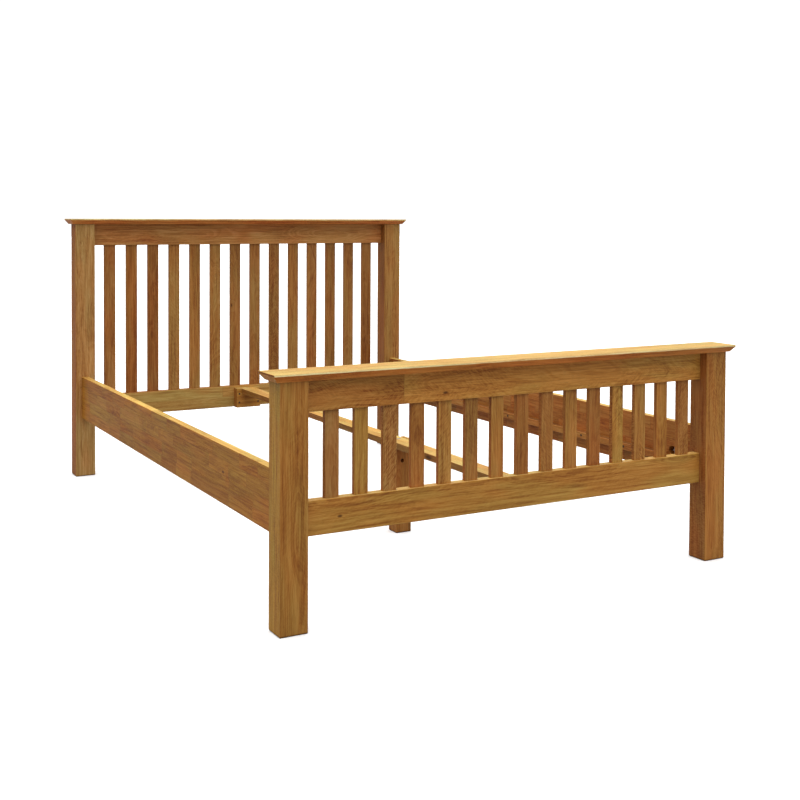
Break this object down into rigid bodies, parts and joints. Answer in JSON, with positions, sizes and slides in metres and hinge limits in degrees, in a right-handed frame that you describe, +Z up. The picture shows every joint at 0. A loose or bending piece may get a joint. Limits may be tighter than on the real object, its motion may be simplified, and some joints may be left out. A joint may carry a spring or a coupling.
{
  "type": "panel bed",
  "caption": "Low wooden bed frame with a slatted headboard, a lower slatted footboard, bevelled caps, side rails with slat ledgers, and a centre rail on a leg.",
  "frame": {"origin": "on the floor, at the middle of the bed's footprint over its caps", "axes": "+X to the right as seen from the foot of the bed, +Y from the footboard to the headboard, +Z up"},
  "size_m": [1.68, 2.221, 1.122],
  "materials": {
    "post_oak": "satin lacquer",
    "rail_oak": "satin lacquer",
    "cap_oak": "satin lacquer",
    "slat_oak": "satin lacquer",
    "side_rail_oak": "satin lacquer over edge-glued staves",
    "support_wood": "matt lacquer",
    "dowel_wood": "plain",
    "fastener_steel": "zinc plated",
    "insert_brass": "plain"
  },
  "bodies": {
    "root": {"bed_bolt_inserts": "insert_brass", "bed_bolt_nuts": "fastener_steel", "bed_bolt_studs": "fastener_steel", "cap_dowels": "dowel_wood", "centre_leg": "support_wood", "centre_leg_cheek": "support_wood", "centre_rail": "support_wood", "centre_rail_hanger_footboard": "support_wood", "centre_rail_hanger_headboard": "support_wood", "centre_support_barrel_nut": "fastener_steel", "centre_support_bolt": "fastener_steel", "centre_support_screws": "fastener_steel", "footboard_bottom_rail": "rail_oak", "footboard_cap": "cap_oak", "footboard_post_left": "post_oak", "footboard_post_right": "post_oak", "footboard_slat_01": "slat_oak", "footboard_slat_02": "slat_oak", "footboard_slat_03": "slat_oak", "footboard_slat_04": "slat_oak", "footboard_slat_05": "slat_oak", "footboard_slat_06": "slat_oak", "footboard_slat_07": "slat_oak", "footboard_slat_08": "slat_oak", "footboard_slat_09": "slat_oak", "footboard_slat_10": "slat_oak", "footboard_slat_11": "slat_oak", "footboard_slat_12": "slat_oak", "footboard_slat_13": "slat_oak", "footboard_slat_14": "slat_oak", "footboard_slat_15": "slat_oak", "footboard_top_rail": "rail_oak", "half_moon_washers": "fastener_steel", "hanger_screws": "fastener_steel", "headboard_bottom_rail": "rail_oak", "headboard_cap": "cap_oak", "headboard_post_left": "post_oak", "headboard_post_right": "post_oak", "headboard_slat_01": "slat_oak", "headboard_slat_02": "slat_oak", "headboard_slat_03": "slat_oak", "headboard_slat_04": "slat_oak", "headboard_slat_05": "slat_oak", "headboard_slat_06": "slat_oak", "headboard_slat_07": "slat_oak", "headboard_slat_08": "slat_oak", "headboard_slat_09": "slat_oak", "headboard_slat_10": "slat_oak", "headboard_slat_11": "slat_oak", "headboard_slat_12": "slat_oak", "headboard_slat_13": "slat_oak", "headboard_slat_14": "slat_oak", "headboard_top_rail": "rail_oak", "ledger_screws": "fastener_steel", "side_rail_dowels": "dowel_wood", "side_rail_left": "side_rail_oak", "side_rail_right": "side_rail_oak", "slat_ledger_left": "support_wood", "slat_ledger_right": "support_wood"}
  },
  "joints": []
}
